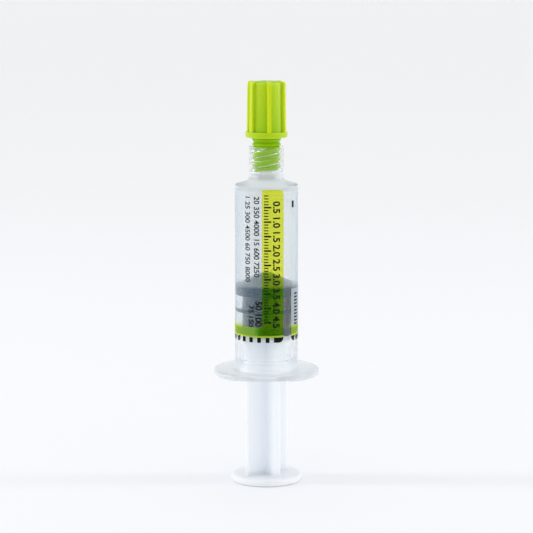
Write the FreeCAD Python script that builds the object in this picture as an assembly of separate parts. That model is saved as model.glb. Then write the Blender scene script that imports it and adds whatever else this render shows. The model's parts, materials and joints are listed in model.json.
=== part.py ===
import FreeCAD
import Part
import math
import os

# Prefilled syringe that stands on its thumb rest with the tip up, capped as it is supplied.
# Millimetres. +Z runs up the barrel towards the tip, -Y is the front, +X is to the right.
# The origin is the centre of the thumb rest's underside.

Vector = FreeCAD.Vector
UP = Vector(0, 0, 1)
FULL_TURN = 360.0
OVERCUT = 1.0
SAME = 1e-4
ALONG = 0.999

# Barrel tube, round inside and out
bore_d = 13.2
barrel_wall = 1.4
barrel_len = 48.8
rim_round = 0.2

# Front end of the barrel, whose inside cone matches the stopper's nose
nose_angle = 32.0
front_wall = 1.35
shoulder_angle = 17.0
shoulder_blend = 1.15

# Male tip with the usual 6 percent taper, that is 0.03 of radius for each length
tip_end_r = 1.98
taper = 0.03
tip_len = 9.4
channel_r = 1.05
floor_wall = 1.0
tip_end_round = 0.25

# Lock collar round the tip
collar_d = 8.8
collar_bore_r = 3.72
collar_len = 7.3
collar_round = 0.18

# Finger flange: round ends, and long sides that bulge only slightly
flange_span = 26.9
flange_depth = 22.8
flange_side_r = 36.2
flange_t = 1.4
flange_round = 0.35
flange_corner_r = 0.6
flange_blend = 0.9

# Ring inside the rear mouth that keeps the stopper from being pulled out
ring_height = 0.25
ring_width = 1.0
ring_from_mouth = 3.9
mouth_chamfer = 0.4

# Plunger rod: thumb rest, four fins, seat disc and snap head
rod_len = 38.35
thumb_rest_d = 18.2
thumb_rest_t = 1.7
thumb_rest_round = 0.55
fin_t = 1.5
fin_gap = 0.65
fin_round = 0.22
fin_blend = 0.5
rod_turn = 30.0
seat_disc_t = 1.5
seat_disc_gap = 0.4
seat_disc_round = 0.25
stem_r = 2.1
stem_len = 2.4
snap_r = 3.3
snap_len = 1.8
snap_cone = 1.3
snap_tip_r = 1.4

# Stopper: three sealing ribs, two grooves, a cone nose and a socket for the snap head
stopper_len = 12.6
seal_gap = 0.04
rib_depth = 0.45
front_rib = 2.5
middle_rib_at = 6.3
middle_rib = 0.9
rear_rib = 2.3
rib_slope = 0.3
rib_round = 0.12
nose_tip_r = 0.9
swivel_gap = 0.08
seat_gap = 0.06

# Solution between the nose and the front of the barrel, with a thin gap to every wall
fill_len = 24.3
film_gap = 0.05

# Tip cap: spigot inside the collar, waist, flange and ribbed grip
cap_stand = 2.27
spigot_len = 8.2
spigot_gap = 0.10
spigot_lead = 0.3
luer_gap = 0.03
cap_bore_end = 0.6
waist_depth = 0.42
waist_len = 1.0
step_len = 0.67
cap_flange_d = 10.7
cap_flange_t = 1.42
cap_flange_round = 0.35
grip_len = 12.7
grip_core_d = 8.7
grip_core_draft = 0.1
grip_rib_d = 10.4
grip_rib_draft = 0.18
grip_rib_w = 1.03
grip_rib_count = 6
grip_turn = 8.8
grip_top_round = 0.6
core_top_round = 0.9

# Label film, wrapped round the barrel with an open seam at the front right
label_drop = 0.6
label_len = 38.8
label_t = 0.08
label_glue = 0.02
seam_width = 2.6
seam_angle = 41.2
label_corner_r = 0.8

# Sizes and heights that follow from the values above
bore_r = bore_d / 2
barrel_r = bore_r + barrel_wall
nose_slope = math.tan(math.radians(nose_angle))
shoulder_slope = math.tan(math.radians(shoulder_angle))
collar_r = collar_d / 2
rib_r = bore_r - seal_gap
groove_r = rib_r - rib_depth
seat_disc_r = bore_r - seat_disc_gap
fin_span = bore_d - 2 * fin_gap
spigot_r = collar_bore_r - spigot_gap

stopper_z = rod_len + seat_gap
stopper_front_z = stopper_z + stopper_len
bore_corner_z = stopper_front_z + fill_len
barrel_top_z = bore_corner_z + front_wall
flange_z = barrel_top_z - barrel_len
flange_top_z = flange_z + flange_t
channel_z = bore_corner_z + (bore_r - channel_r) * nose_slope
tip_root_r = tip_end_r + taper * tip_len
floor_z = bore_corner_z + (bore_r - tip_root_r) * nose_slope + floor_wall
tip_top_z = floor_z + tip_len
shoulder_top_z = barrel_top_z + (barrel_r - collar_r) * shoulder_slope
collar_top_z = floor_z + collar_len
ring_z = flange_z + ring_from_mouth
cap_flange_z = collar_top_z + cap_stand
spigot_z = cap_flange_z - spigot_len
grip_z = cap_flange_z + cap_flange_t
grip_top_z = grip_z + grip_len


def turned(*outline):
    """Solid of revolution about Z from its (radius, height) corners."""
    corners = [Vector(radius, 0, height) for radius, height in outline]
    corners.append(corners[0])
    solid = Part.Face(Part.makePolygon(corners)).revolve(Vector(), UP, FULL_TURN)
    if solid.Volume < 0:
        solid.reverse()
    return solid


def rod(radius, low, high):
    """Plain round bar about Z between two heights."""
    return Part.makeCylinder(radius, high - low, Vector(0, 0, low))


def rims(shape, radius, height):
    """Circular edges about Z that have the given radius and height."""
    found = []
    for edge in shape.Edges:
        curve = edge.Curve
        if isinstance(curve, Part.Circle) and math.hypot(curve.Center.x, curve.Center.y) < SAME:
            if abs(curve.Radius - radius) < SAME and abs(curve.Center.z - height) < SAME:
                found.append(edge)
    return found


def upright_edges(shape):
    """Straight edges that run along Z."""
    found = []
    for edge in shape.Edges:
        if isinstance(edge.Curve, Part.Line) and abs(edge.tangentAt(edge.FirstParameter).z) > ALONG:
            found.append(edge)
    return found


def level_edges(shape, height):
    """Edges that lie in the horizontal plane of the given height."""
    found = []
    for edge in shape.Edges:
        box = edge.BoundBox
        if abs(box.ZMin - height) < SAME and abs(box.ZMax - height) < SAME:
            found.append(edge)
    return found


def tip_radius(height):
    """Radius of the male taper at a height."""
    return tip_end_r + taper * (tip_top_z - height)


def finger_flange():
    """Plate with round ends and two flatter sides, all of its edges rounded."""
    plate = rod(flange_span / 2, flange_z, flange_top_z)
    side_shift = flange_side_r - flange_depth / 2
    for side in (-1, 1):
        big = Part.makeCylinder(flange_side_r, flange_t, Vector(0, side * side_shift, flange_z))
        plate = plate.common(big)
    plate = plate.makeFillet(flange_corner_r, upright_edges(plate))
    outline = level_edges(plate, flange_z) + level_edges(plate, flange_top_z)
    return plate.makeFillet(flange_round, outline)


def barrel():
    """Tube, front cone, tip, collar, finger flange and retaining ring, moulded as one."""
    body = turned(
        (0, flange_z),
        (barrel_r, flange_z),
        (barrel_r, barrel_top_z),
        (collar_r, shoulder_top_z),
        (collar_r, collar_top_z),
        (0, collar_top_z),
    )
    body = body.makeFillet(shoulder_blend, rims(body, collar_r, shoulder_top_z))
    body = body.makeFillet(rim_round, rims(body, barrel_r, barrel_top_z))
    body = body.makeFillet(collar_round, rims(body, collar_r, collar_top_z))
    body = body.fuse(finger_flange())
    body = body.makeFillet(flange_blend, rims(body, barrel_r, flange_top_z))
    body = body.cut(rod(collar_bore_r, floor_z, collar_top_z + OVERCUT))
    tip = turned(
        (0, floor_z - floor_wall / 2),
        (tip_root_r, floor_z - floor_wall / 2),
        (tip_root_r, floor_z),
        (tip_end_r, tip_top_z),
        (0, tip_top_z),
    )
    tip = tip.makeFillet(tip_end_round, rims(tip, tip_end_r, tip_top_z))
    body = body.fuse(tip)
    bore = turned(
        (0, flange_z - OVERCUT),
        (bore_r, flange_z - OVERCUT),
        (bore_r, bore_corner_z),
        (channel_r, channel_z),
        (channel_r, tip_top_z + OVERCUT),
        (0, tip_top_z + OVERCUT),
    )
    body = body.cut(bore)
    body = body.makeChamfer(mouth_chamfer, rims(body, bore_r, flange_z))
    ring_section_r = (ring_width ** 2 / 4 + ring_height ** 2) / (2 * ring_height)
    ring_centre_r = bore_r - ring_height + ring_section_r
    ring = Part.makeTorus(ring_centre_r, ring_section_r, Vector(0, 0, ring_z))
    return body.fuse(ring).removeSplitter()


def plunger_rod():
    """Thumb rest, crossed fins, seat disc and snap head, moulded as one."""
    rest = rod(thumb_rest_d / 2, 0, thumb_rest_t)
    rest_rims = rims(rest, thumb_rest_d / 2, 0) + rims(rest, thumb_rest_d / 2, thumb_rest_t)
    body = rest.makeFillet(thumb_rest_round, rest_rims)
    seat_z = rod_len - seat_disc_t
    cross = None
    for turn in (0, 90):
        low = Vector(-fin_span / 2, -fin_t / 2, thumb_rest_t / 2)
        fin = Part.makeBox(fin_span, fin_t, seat_z - thumb_rest_t / 2 + seat_disc_t / 2, low)
        fin = fin.makeFillet(fin_round, upright_edges(fin))
        fin.rotate(Vector(), UP, rod_turn + turn)
        cross = fin if cross is None else cross.fuse(fin)
    body = body.fuse(cross.removeSplitter())
    feet = [edge for edge in level_edges(body, thumb_rest_t) if edge.BoundBox.DiagonalLength < fin_span]
    body = body.makeFillet(fin_blend, feet)
    seat = rod(seat_disc_r, seat_z, rod_len)
    seat = seat.makeFillet(seat_disc_round, rims(seat, seat_disc_r, seat_z) + rims(seat, seat_disc_r, rod_len))
    body = body.fuse(seat)
    snap_z = rod_len + stem_len
    head = turned(
        (0, seat_z),
        (stem_r, seat_z),
        (stem_r, snap_z),
        (snap_r, snap_z),
        (snap_r, snap_z + snap_len),
        (snap_tip_r, snap_z + snap_len + snap_cone),
        (0, snap_z + snap_len + snap_cone),
    )
    return body.fuse(head).removeSplitter()


def stopper():
    """Rubber stopper with ribs, grooves, cone nose and snap socket."""
    rear_top = stopper_z + rear_rib
    middle_low = stopper_front_z - middle_rib_at - middle_rib / 2
    middle_top = middle_low + middle_rib
    front_low = stopper_front_z - front_rib
    edge_r = rib_r - rib_slope
    nose_z = stopper_front_z + (edge_r - nose_tip_r) * nose_slope
    body = turned(
        (0, stopper_z),
        (edge_r, stopper_z),
        (rib_r, stopper_z + rib_slope),
        (rib_r, rear_top - rib_slope),
        (groove_r, rear_top),
        (groove_r, middle_low - rib_slope),
        (rib_r, middle_low),
        (rib_r, middle_top),
        (groove_r, middle_top + rib_slope),
        (groove_r, front_low - rib_slope),
        (rib_r, front_low),
        (rib_r, stopper_front_z - rib_slope * nose_slope),
        (nose_tip_r, nose_z),
        (0, nose_z + nose_tip_r * nose_slope / 2),
    )
    corners = []
    for height in (stopper_z + rib_slope, rear_top - rib_slope, middle_low, middle_top, front_low):
        corners += rims(body, rib_r, height)
    body = body.makeFillet(rib_round, corners)
    snap_z = rod_len + stem_len
    throat_r = stem_r + swivel_gap
    chamber_r = snap_r + swivel_gap
    chamber_low = snap_z - swivel_gap
    chamber_high = snap_z + snap_len + swivel_gap
    socket = turned(
        (0, stopper_z - OVERCUT),
        (throat_r, stopper_z - OVERCUT),
        (throat_r, chamber_low),
        (chamber_r, chamber_low),
        (chamber_r, chamber_high),
        (snap_tip_r + swivel_gap, chamber_high + snap_cone),
        (0, chamber_high + snap_cone),
    )
    return body.cut(socket)


def solution():
    """Liquid column that fills the barrel from the nose to the end of the tip's channel."""
    edge_r = bore_r - film_gap
    rise = film_gap / math.cos(math.radians(nose_angle))
    base_z = stopper_front_z - rib_slope * nose_slope + rise
    nose_z = stopper_front_z + (rib_r - rib_slope - nose_tip_r) * nose_slope + rise
    channel_fill_r = channel_r - film_gap
    cone_z = bore_corner_z - film_gap
    return turned(
        (0, nose_z + nose_tip_r * nose_slope / 2),
        (nose_tip_r, nose_z),
        (edge_r, base_z),
        (edge_r, cone_z),
        (channel_fill_r, cone_z + (edge_r - channel_fill_r) * nose_slope),
        (channel_fill_r, tip_top_z - film_gap),
        (0, tip_top_z - film_gap),
    )


def grip():
    """Round core with upright ribs, both drawn in slightly towards the top."""
    core = Part.makeCone(grip_core_d / 2, grip_core_d / 2 - grip_core_draft, grip_len, Vector(0, 0, grip_z))
    core = core.makeFillet(core_top_round, rims(core, grip_core_d / 2 - grip_core_draft, grip_top_z))
    top_r = grip_rib_d / 2 - grip_rib_draft
    hull = Part.makeCone(grip_rib_d / 2, top_r, grip_len, Vector(0, 0, grip_z))
    hull = hull.makeFillet(grip_top_round, rims(hull, top_r, grip_top_z))
    for index in range(grip_rib_count):
        low = Vector(0, -grip_rib_w / 2, grip_z)
        rib = Part.makeBox(grip_rib_d, grip_rib_w, grip_len, low)
        rib.rotate(Vector(), UP, grip_turn - 90 + index * FULL_TURN / grip_rib_count)
        core = core.fuse(rib.common(hull))
    return core.removeSplitter()


def tip_cap():
    """Ribbed grip, flange, waist and spigot with a tapered socket for the male tip."""
    plate = rod(cap_flange_d / 2, cap_flange_z, grip_z)
    plate_rims = rims(plate, cap_flange_d / 2, cap_flange_z) + rims(plate, cap_flange_d / 2, grip_z)
    body = plate.makeFillet(cap_flange_round, plate_rims)
    body = body.fuse(grip())
    waist_r = spigot_r - waist_depth
    step_z = cap_flange_z - step_len
    spigot = turned(
        (0, cap_flange_z + cap_flange_t / 2),
        (spigot_r, cap_flange_z + cap_flange_t / 2),
        (spigot_r, step_z),
        (waist_r, step_z - waist_len / 2),
        (spigot_r, step_z - waist_len),
        (spigot_r, spigot_z + spigot_lead),
        (spigot_r - spigot_lead, spigot_z),
        (0, spigot_z),
    )
    body = body.fuse(spigot)
    socket_top_z = tip_top_z + cap_bore_end
    socket = turned(
        (0, spigot_z - OVERCUT),
        (tip_radius(spigot_z - OVERCUT) + luer_gap, spigot_z - OVERCUT),
        (tip_radius(socket_top_z) + luer_gap, socket_top_z),
        (0, socket_top_z),
    )
    return body.cut(socket).removeSplitter()


def label():
    """Thin film round the barrel, open at its seam, with rounded corners."""
    inner_r = barrel_r + label_glue
    outer_r = inner_r + label_t
    low = barrel_top_z - label_drop - label_len
    film = rod(outer_r, low, low + label_len).cut(rod(inner_r, low, low + label_len))
    half_seam = math.degrees(seam_width / 2 / barrel_r)
    reach = 2 * outer_r
    corners = [Vector(0, 0, low), Vector(), Vector()]
    for index, turn in ((1, seam_angle - half_seam), (2, seam_angle + half_seam)):
        angle = math.radians(turn - 90)
        corners[index] = Vector(reach * math.cos(angle), reach * math.sin(angle), low)
    wedge = Part.Face(Part.makePolygon(corners + [corners[0]])).extrude(Vector(0, 0, label_len))
    film = film.cut(wedge)
    ends = []
    for edge in film.Edges:
        if isinstance(edge.Curve, Part.Line) and edge.Length < 2 * label_t:
            ends.append(edge)
    return film.makeFillet(label_corner_r, ends)


def main():
    """Build each piece, check it and write it to parts/."""
    os.makedirs("parts", exist_ok=True)
    pieces = {
        "barrel": barrel(),
        "plunger_rod": plunger_rod(),
        "stopper": stopper(),
        "solution": solution(),
        "tip_cap": tip_cap(),
        "label": label(),
    }
    for name, shape in pieces.items():
        solid = shape.Solids[0] if len(shape.Solids) == 1 else shape
        box = solid.BoundBox
        print("%-12s solids %d valid %s volume %.1f mm3 z %.2f to %.2f" % (
            name, len(shape.Solids), solid.isValid(), solid.Volume, box.ZMin, box.ZMax))
        solid.exportStep("parts/%s.step" % name)
    print("bore corner %.2f floor %.2f collar top %.2f tip top %.2f flange %.2f" % (
        bore_corner_z, floor_z, collar_top_z, tip_top_z, flange_z))


main()
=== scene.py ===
import json
import math

import bmesh
import bpy
from bpy.props import FloatProperty, FloatVectorProperty, IntProperty, PointerProperty, StringProperty
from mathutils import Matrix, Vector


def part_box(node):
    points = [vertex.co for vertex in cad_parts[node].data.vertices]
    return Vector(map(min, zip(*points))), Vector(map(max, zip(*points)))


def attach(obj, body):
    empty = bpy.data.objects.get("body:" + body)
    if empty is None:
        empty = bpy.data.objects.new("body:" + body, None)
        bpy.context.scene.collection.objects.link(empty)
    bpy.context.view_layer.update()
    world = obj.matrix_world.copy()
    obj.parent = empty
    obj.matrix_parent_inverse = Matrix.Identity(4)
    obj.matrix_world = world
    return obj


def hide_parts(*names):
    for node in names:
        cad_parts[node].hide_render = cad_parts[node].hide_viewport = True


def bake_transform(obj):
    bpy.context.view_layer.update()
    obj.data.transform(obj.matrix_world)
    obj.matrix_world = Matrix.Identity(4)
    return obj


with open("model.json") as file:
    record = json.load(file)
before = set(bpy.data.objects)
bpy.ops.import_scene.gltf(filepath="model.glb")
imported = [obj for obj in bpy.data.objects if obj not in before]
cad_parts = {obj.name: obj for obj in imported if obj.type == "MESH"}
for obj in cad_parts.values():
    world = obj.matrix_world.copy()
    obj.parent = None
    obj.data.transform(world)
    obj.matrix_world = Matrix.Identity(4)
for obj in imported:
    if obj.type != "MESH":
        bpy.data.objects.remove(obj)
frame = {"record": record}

bl_info = {
    "name": "Prefilled Syringe",
    "version": (1, 0, 0),
    "blender": (4, 5, 0),
    "location": "View3D > Sidebar > Syringe",
    "description": "Builds a capped prefilled syringe and its studio around a fixed frame",
    "category": "Add Mesh",
}

# Everything is in metres. MM turns the millimetres of the drawing into metres.
MM = 0.001
TURN = 2 * math.pi
FRONT = -math.pi / 2

# How finely the meshes are made: columns round a turned piece, the angle between the points of an arc, the
# short stretches that keep a face flat up to its arcs, what is welded, and what is shaded sharp
ROUND_COLUMNS = 256
ARC_STEP = math.radians(11)
HOLD = 0.03 * MM
WELD = 0.0005 * MM
SHARP_ANGLE = math.radians(38)

# Steps over the retaining ring, over an edge's quarter round, over the grip's top or a fin's foot, and over
# a corner of the film
RING_STEPS = 8
EDGE_STEPS = 6
FOOT_STEPS = 7
CORNER_STEPS = 9

# What the tip's radius loses for each length along it
TAPER = 0.03

# How far from the tube the flange's own rings begin, and how softly its flat sides meet its round ends
FLANGE_JOIN = 2 * MM
FLANGE_CORNER = 0.12 * MM

# The thread that the lock collar and the cap's spigot share: its lead, its starts, how far a crest lies
# below the collar's rim, the height of a row of its mesh and the gap above the spigot's first row
THREAD_LEAD = 5.0 * MM
THREAD_STARTS = 2
THREAD_PITCH = THREAD_LEAD / THREAD_STARTS
THREAD_FROM_RIM = 1.35 * MM
THREAD_ROW = 0.08 * MM
THREAD_GAP = 0.05 * MM

# Where a fin's end is sampled, as shares of its half angle, and the steps between it and the next fin
FIN_SHARES = (0, 0.3, 0.55, 0.7, 0.76, 0.82, 0.88, 0.94, 1.0)
FIN_STEPS = 22

# A rib's flank inside and outside its edge, where the rib's crest is sampled as shares of its half, and the
# steps over the flank and over the ground to the next rib
RIB_INSIDE = math.radians(0.9)
RIB_OUTSIDE = math.radians(2.4)
RIB_SHARES = (0, 0.35, 0.65, 0.85, 1)
FLANK_STEPS = 7
GROUND_STEPS = 10

# Heights of the film's band and panel above its lower edge, and of the rim's soft edge above the band's
BAND_LOW = 1.36 * MM
BAND_HIGH = 3.85 * MM
PANEL_LOW = 2.6 * MM
PANEL_HIGH = 13.4 * MM
RIM_LOW = 0.3 * MM
RIM_HIGH = 0.55 * MM

# Angles on the film: how far the panel reaches round from the film's left end, how far a colour runs past
# the film's end, and over what the band turns pale
PANEL_REACH = math.radians(60)
FILM_OVER = 0.1
BAND_FADE = 0.3

BARREL_LOW, BARREL_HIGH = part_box("barrel")
CAP_LOW, CAP_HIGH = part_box("tip_cap")
ROD_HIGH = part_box("plunger_rod")[1]
STOPPER_LOW, STOPPER_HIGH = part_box("stopper")
LABEL_LOW, LABEL_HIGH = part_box("label")
PIN_RADIUS = next(m["dims"]["r_mm"] for m in frame["record"]["mounts"] if m["name"] == "barrel_outside") * MM
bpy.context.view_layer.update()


def size(name, description, millimetres):
    """Length property with its default given in millimetres."""
    return FloatProperty(
        name=name, description=description, default=millimetres * MM, min=0.0, precision=5, unit="LENGTH")


def tint(name, description, *colour):
    """Colour property from linear red, green and blue."""
    return FloatVectorProperty(
        name=name, description=description, default=colour, size=3, min=0.0, max=1.0, subtype="COLOR")


def degrees(name, description, value):
    """Angle property with its default given in degrees."""
    return FloatProperty(name=name, description=description, default=math.radians(value), subtype="ANGLE")


def fraction(name, description, value):
    """Property from 0 to 1."""
    return FloatProperty(
        name=name, description=description, default=value, min=0.0, max=1.0, subtype="FACTOR")


class BarrelSizes(bpy.types.PropertyGroup):
    """Sizes of the clear barrel"""

    bore_radius: size("Bore radius", "Inside radius of the tube", 6.6)
    tube_length: size("Tube length", "From the flange's underside to the shoulder's edge", 48.8)
    front_wall: size("Front wall", "Shoulder's edge above the bore's corner", 1.35)
    nose_rise: size("Nose rise", "Height of the front cone inside, from the bore to the channel", 3.468)
    shoulder_rise: size("Shoulder rise", "Height of the shoulder's slope", 1.101)
    shoulder_blend: size("Shoulder blend", "Radius between shoulder and collar", 1.15)
    collar_radius: size("Collar radius", "Outside radius of the lock collar", 4.4)
    collar_length: size("Collar length", "From the collar's floor to its rim", 7.3)
    tip_length: size("Tip length", "From the collar's floor to the tip's end", 9.4)
    tip_radius: size("Tip radius", "Radius of the tip at its end", 1.98)
    channel_radius: size("Channel radius", "Radius of the channel through the tip", 1.05)
    flange_thickness: size("Flange thickness", "Thickness of the finger flange", 1.4)
    flange_side_radius: size("Flange side radius", "Radius of the flange's two flatter sides", 36.2)
    flange_blend: size("Flange blend", "Radius between tube and flange", 0.9)
    flange_round: size("Flange round", "Radius of the flange's edges", 0.35)
    ring_height: size("Ring height", "How far the retaining ring stands into the bore", 0.25)
    ring_width: size("Ring width", "Width of the retaining ring along the bore", 1.0)
    ring_place: size("Ring place", "Retaining ring above the flange's underside", 3.9)
    thread_root: size("Thread root", "Radius of the collar's thread at its root", 4.0)
    thread_crest: size("Thread crest", "Radius of the collar's thread at its crest", 3.72)
    thread_flat: size("Thread flat", "Width of the collar's thread at its crest", 0.55)
    thread_flank: size("Thread flank", "Width of each flank of the collar's thread", 0.45)
    thread_high: size("Thread high", "From the rim down to the thread's upper end", 0.25)
    thread_low: size("Thread low", "From the collar's floor up to the thread's lower end", 0.7)
    thread_fade_high: size("Upper fade", "Length over which the thread rises at the rim", 0.35)
    thread_fade_low: size("Lower fade", "Length over which the thread fades at the floor", 0.9)
    shoulder_round: size("Shoulder round", "Radius of the shoulder's outer edge", 0.2)
    rim_round: size("Rim round", "Radius of the collar's rim outside", 0.18)
    rim_inner_round: size("Inner rim round", "Radius of the collar's rim inside", 0.1)
    rim_land: size("Rim land", "Plain stretch inside the collar's rim", 0.2)
    floor_round: size("Floor round", "Radius between the collar's wall and its floor", 0.6)
    tip_root_round: size("Tip root round", "Radius between the collar's floor and the tip", 0.5)
    tip_end_round: size("Tip end round", "Radius of the tip's outer edge", 0.25)
    channel_round: size("Channel round", "Radius of the channel's edge at the tip", 0.12)
    cone_round: size("Cone round", "Radius between the bore and the front cone", 0.6)
    mouth_chamfer: size("Mouth chamfer", "Chamfer of the bore's rear mouth", 0.4)


class CapSizes(bpy.types.PropertyGroup):
    """Sizes of the tip cap"""

    rib_count: IntProperty(name="Ribs", description="Ribs round the grip", default=6, min=3)
    rib_turn: degrees("Rib turn", "Turn of the ribs from the front", 8.8)
    rib_width: size("Rib width", "Width of a rib", 1.03)
    rib_radius: size("Rib radius", "Radius of the ribs at the foot of the grip", 5.2)
    core_radius: size("Core radius", "Radius between the ribs at the foot of the grip", 4.35)
    draft: size("Draft", "How much narrower the grip is at its top", 0.15)
    grip_length: size("Grip length", "Length of the ribbed grip", 12.7)
    plate_radius: size("Plate radius", "Radius of the cap's flange", 5.35)
    plate_thickness: size("Plate thickness", "Thickness of the cap's flange", 1.42)
    spigot_radius: size("Spigot radius", "Radius of the spigot and of its thread's crest", 3.62)
    spigot_root: size("Spigot root", "Radius of the spigot's thread at its root", 3.12)
    waist_depth: size("Waist depth", "Depth of the groove below the flange", 0.42)
    waist_length: size("Waist length", "Length of the groove below the flange", 1.0)
    waist_round: size("Waist round", "Radius of the groove's bottom", 0.15)
    step_length: size("Step length", "From the cap's flange to the groove", 0.67)
    land_length: size("Land length", "Full round between the groove and the thread", 0.25)
    thread_lead_in: size("Thread lead-in", "Slope from the land to the thread's root", 0.3)
    edge_round: size("Edge round", "Radius of the spigot's edges", 0.08)
    core_round: size("Core round", "Radius of the grip's top between the ribs", 0.9)
    rib_round: size("Rib round", "Radius of the ribs' tops", 0.6)
    plate_top_round: size("Upper plate round", "Radius of the flange's upper edge", 0.13)
    plate_round: size("Lower plate round", "Radius of the flange's lower edge", 0.35)
    thread_flat: size("Thread flat", "Width of the spigot's thread at its crest", 0.85)
    thread_flank: size("Thread flank", "Width of each flank of the spigot's thread", 0.4)
    thread_low: size("Thread low", "From the spigot's end up to the thread", 0.25)
    thread_fade_high: size("Upper fade", "Length over which the spigot's thread rises", 0.2)
    thread_fade_low: size("Lower fade", "Length over which the spigot's thread fades", 0.4)
    spigot_chamfer: size("Spigot chamfer", "Chamfer of the spigot's end", 0.25)
    socket_gap: size("Socket gap", "Play between the socket and the tip's taper", 0.03)
    socket_spare: size("Socket spare", "Socket's depth beyond the tip's end", 0.6)


class RodSizes(bpy.types.PropertyGroup):
    """Sizes of the plunger rod"""

    rest_thickness: size("Thumb rest", "Thickness of the thumb rest", 1.7)
    rest_round: size("Thumb rest round", "Radius of the thumb rest's edges", 0.55)
    fin_count: IntProperty(name="Fins", description="Fins round the rod's axis", default=4, min=3)
    fin_reach: size("Fin reach", "From the axis to a fin's edge", 5.95)
    fin_thickness: size("Fin thickness", "Thickness of a fin", 1.5)
    fin_round: size("Fin round", "Radius of a fin's long edges", 0.22)
    fin_foot: size("Fin foot", "Radius between fin and thumb rest", 0.5)
    fin_turn: degrees("Fin turn", "Turn of the fins about the axis", 30)
    seat_radius: size("Seat radius", "Radius of the disc under the stopper", 6.2)
    seat_thickness: size("Seat thickness", "Thickness of the disc under the stopper", 1.5)
    seat_round: size("Seat round", "Radius of the disc's edges", 0.25)
    stem_length: size("Stem length", "Neck between disc and snap head", 2.4)
    stem_radius: size("Stem radius", "Radius of the neck", 2.1)
    head_radius: size("Head radius", "Radius of the snap head", 3.3)
    head_length: size("Head length", "Straight part of the snap head", 1.8)
    head_cone: size("Head cone", "Length of the snap head's cone", 1.3)
    head_tip_radius: size("Head tip radius", "Radius of the snap head's end", 1.4)


class StopperSizes(bpy.types.PropertyGroup):
    """Sizes of the rubber stopper and the solution"""

    length: size("Length", "From the rear face to the front edge", 12.6)
    squeeze: size("Squeeze", "How far the ribs press into the bore's wall", 0.03)
    rib_depth: size("Rib depth", "Depth of the grooves between the ribs", 0.49)
    front_rib: size("Front rib", "Width of the front rib", 2.5)
    middle_rib: size("Middle rib", "Width of the middle rib", 0.9)
    middle_place: size("Middle place", "Middle rib behind the front edge", 6.3)
    rear_rib: size("Rear rib", "Width of the rear rib", 2.3)
    rib_slope: size("Rib slope", "Slope from a rib to a groove", 0.3)
    rib_round: size("Rib round", "Radius of the ribs' edges", 0.12)
    front_round: size("Front round", "Radius between the front rib and the nose", 0.2)
    front_drop: size("Front drop", "How far the nose's edge lies below the front", 0.19)
    nose_radius: size("Nose radius", "Radius of the nose's rounded end", 0.9)
    nose_drop: size("Nose drop", "Height of the nose's rounded end", 0.28)
    socket_gap: size("Socket gap", "Play between the socket and the rod's head", 0.08)
    wetting: size("Wetting", "How far the solution's skin lies inside what it wets", 0.012)
    meniscus: size("Solution's edge", "How far the solution reaches below the front edge", 0.25)


class LabelSizes(bpy.types.PropertyGroup):
    """Sizes of the label film"""

    thickness: size("Thickness", "Thickness of the film", 0.08)
    right_end: degrees("Right end", "Film's end at the column", 31.9)
    left_end: degrees("Left end", "Film's other end", 50.5)
    corner: size("Corner", "Radius of the film's corners", 1.2)
    column_left: degrees("Column", "Left side of the coloured column", -8.0)


class PrintSizes(bpy.types.PropertyGroup):
    """Sizes and places of the print on the film"""

    ink: size("Ink", "Thickness of the dark ink", 0.008)
    ink_gap: size("Ink gap", "Distance from the film to the ink", 0.002)
    hatch_count: IntProperty(name="Hatch marks", description="Marks along the lower edge", default=20, min=1)
    hatch_pitch: degrees("Hatch pitch", "Angle between hatch marks", 15.4)
    hatch_start: degrees("Hatch start", "Middle of the first hatch mark", 1.9)
    hatch_width: degrees("Hatch width", "Width of a hatch mark", 7.0)
    hatch_height: size("Hatch height", "Height of the hatch marks", 1.3)
    end_mark_right: degrees("Right end mark", "Inner end of the mark at the film's right end", 13.4)
    end_mark_left: degrees("Left end mark", "Inner end of the mark at the film's left end", 60.0)
    millilitre: size("Millilitre", "Travel for one millilitre", 7.307)
    tick_count: IntProperty(name="Ticks", description="Ticks of a tenth of a millilitre", default=45, min=1)
    tick_place: degrees("Tick place", "Line on which the ticks' left ends stand", -4.0)
    tick_over: size("Tick over", "How far the ticks reach over that line", 0.05)
    tick_length: size("Tick length", "Length of a tick", 1.1)
    tick_width: size("Tick width", "Width of a tick", 0.27)
    half_tick_length: size("Half tick length", "Length of a tick of half a millilitre", 1.8)
    half_tick_width: size("Half tick width", "Width of a tick of half a millilitre", 0.42)
    small_mark_place: degrees("Small mark", "Middle of the small mark near the film's left end", 54.5)
    small_mark_drop: size("Small mark drop", "Small mark below the zero line", 3.1)
    small_mark_width: size("Small mark width", "Width of the small mark", 0.8)
    small_mark_height: size("Small mark height", "Height of the small mark", 1.7)
    panel_count: IntProperty(name="Panel marks", description="Marks on the pale panel", default=10, min=1)
    panel_place: degrees("Panel marks' place", "Middle of the marks on the pale panel", 66.0)
    panel_drop: size("Panel marks' drop", "First mark below the panel's top", 1.4)
    panel_step: size("Panel step", "Step between the marks on the panel", 0.86)
    panel_mark_width: size("Panel mark width", "Width of a mark on the panel", 1.7)
    panel_mark_height: size("Panel mark height", "Height of a mark on the panel", 0.42)
    numeral_place: degrees("Numeral place", "Middle of the scale's numerals", 17.5)
    numeral_weight: size("Numeral weight", "Added to the strokes of the scale's numerals", 0.07)
    numeral: size("Numeral", "Height of the scale's numerals", 1.75)
    small_numeral: size("Small numeral", "Height of the other rows' numerals", 1.38)
    row_left: StringProperty(
        name="Left row", description="Plain numbers of the left row", default="1 25 300 4500 60 750 8000")
    row_right: StringProperty(
        name="Right row", description="Plain numbers of the right row", default="20 350 4000 15 600 7250")
    row_low: StringProperty(name="Low row", description="Plain numbers of the low row", default="50 100")
    row_low_left: StringProperty(
        name="Low left row", description="Plain numbers of the low row on the left", default="75 150")


# Ticks to the millilitre, and ticks from one numeral to the next
TICKS = 10
HALF = 5

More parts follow.
